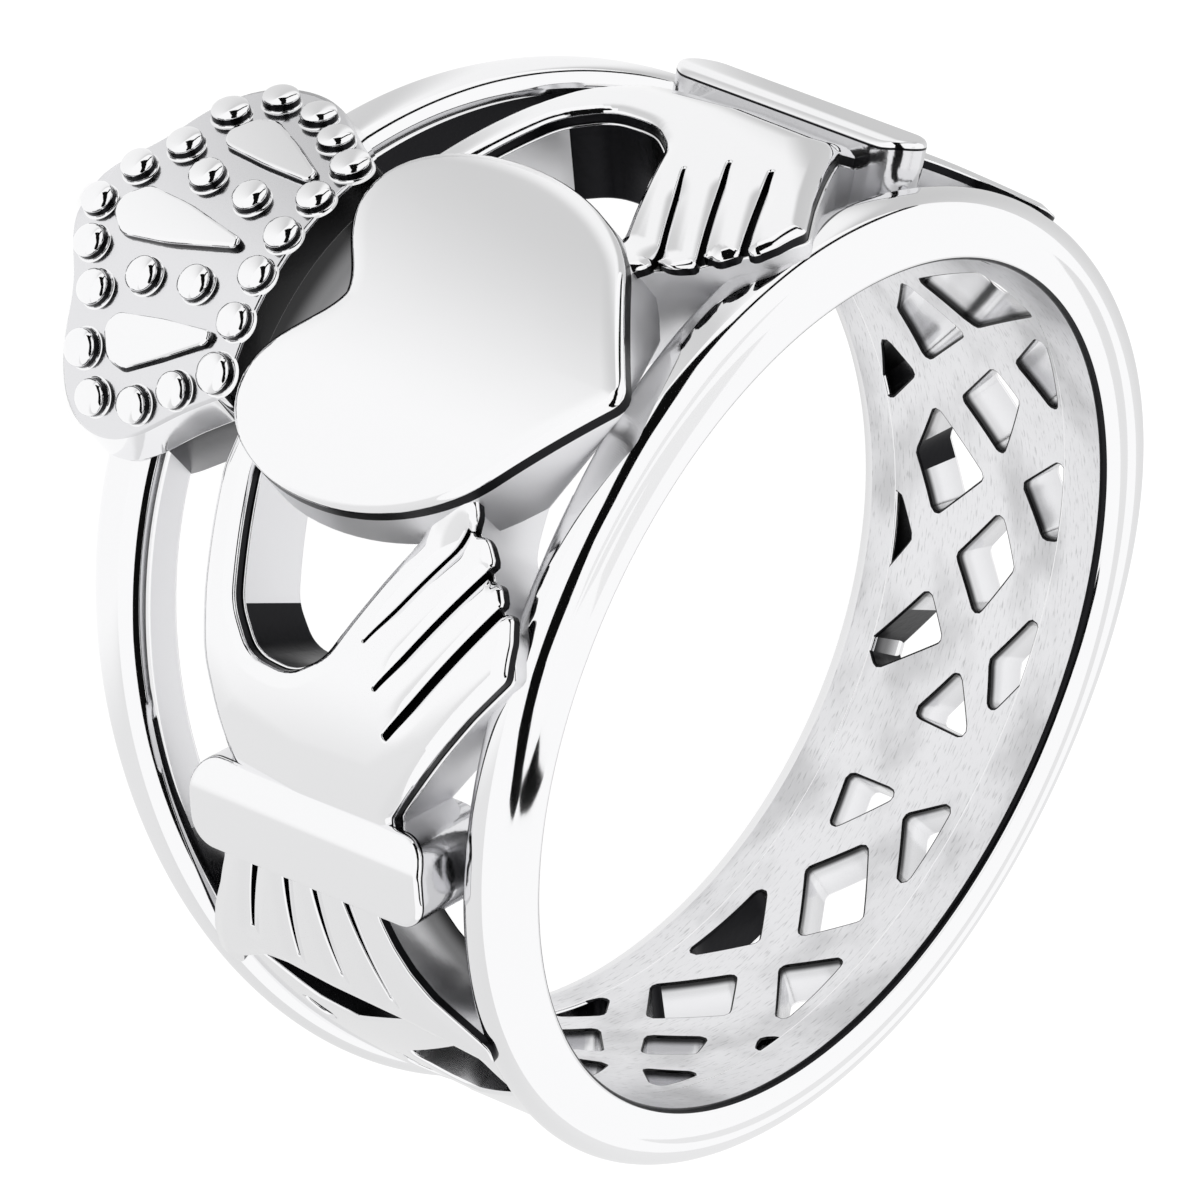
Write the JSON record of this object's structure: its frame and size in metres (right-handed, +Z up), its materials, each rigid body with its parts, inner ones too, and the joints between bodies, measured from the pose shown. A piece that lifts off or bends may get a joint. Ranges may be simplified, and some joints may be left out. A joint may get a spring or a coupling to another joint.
{
  "type": "claddagh ring",
  "caption": "Finger ring on which two hands hold a crowned heart, with a pierced, tapering band between rounded edge rails.",
  "frame": {"origin": "middle of the ring's box where it lies, on the surface that it lies on", "axes": "+Z up from that surface; the heart faces -Y and X runs across it; the finger hole leans 13.8 degrees from +Z towards +Y"},
  "size_m": [0.022, 0.0256, 0.015],
  "materials": {
    "ring_metal": "polished stainless steel, finely brushed inside"
  },
  "bodies": {
    "root": {"ring": "ring_metal"}
  },
  "joints": []
}
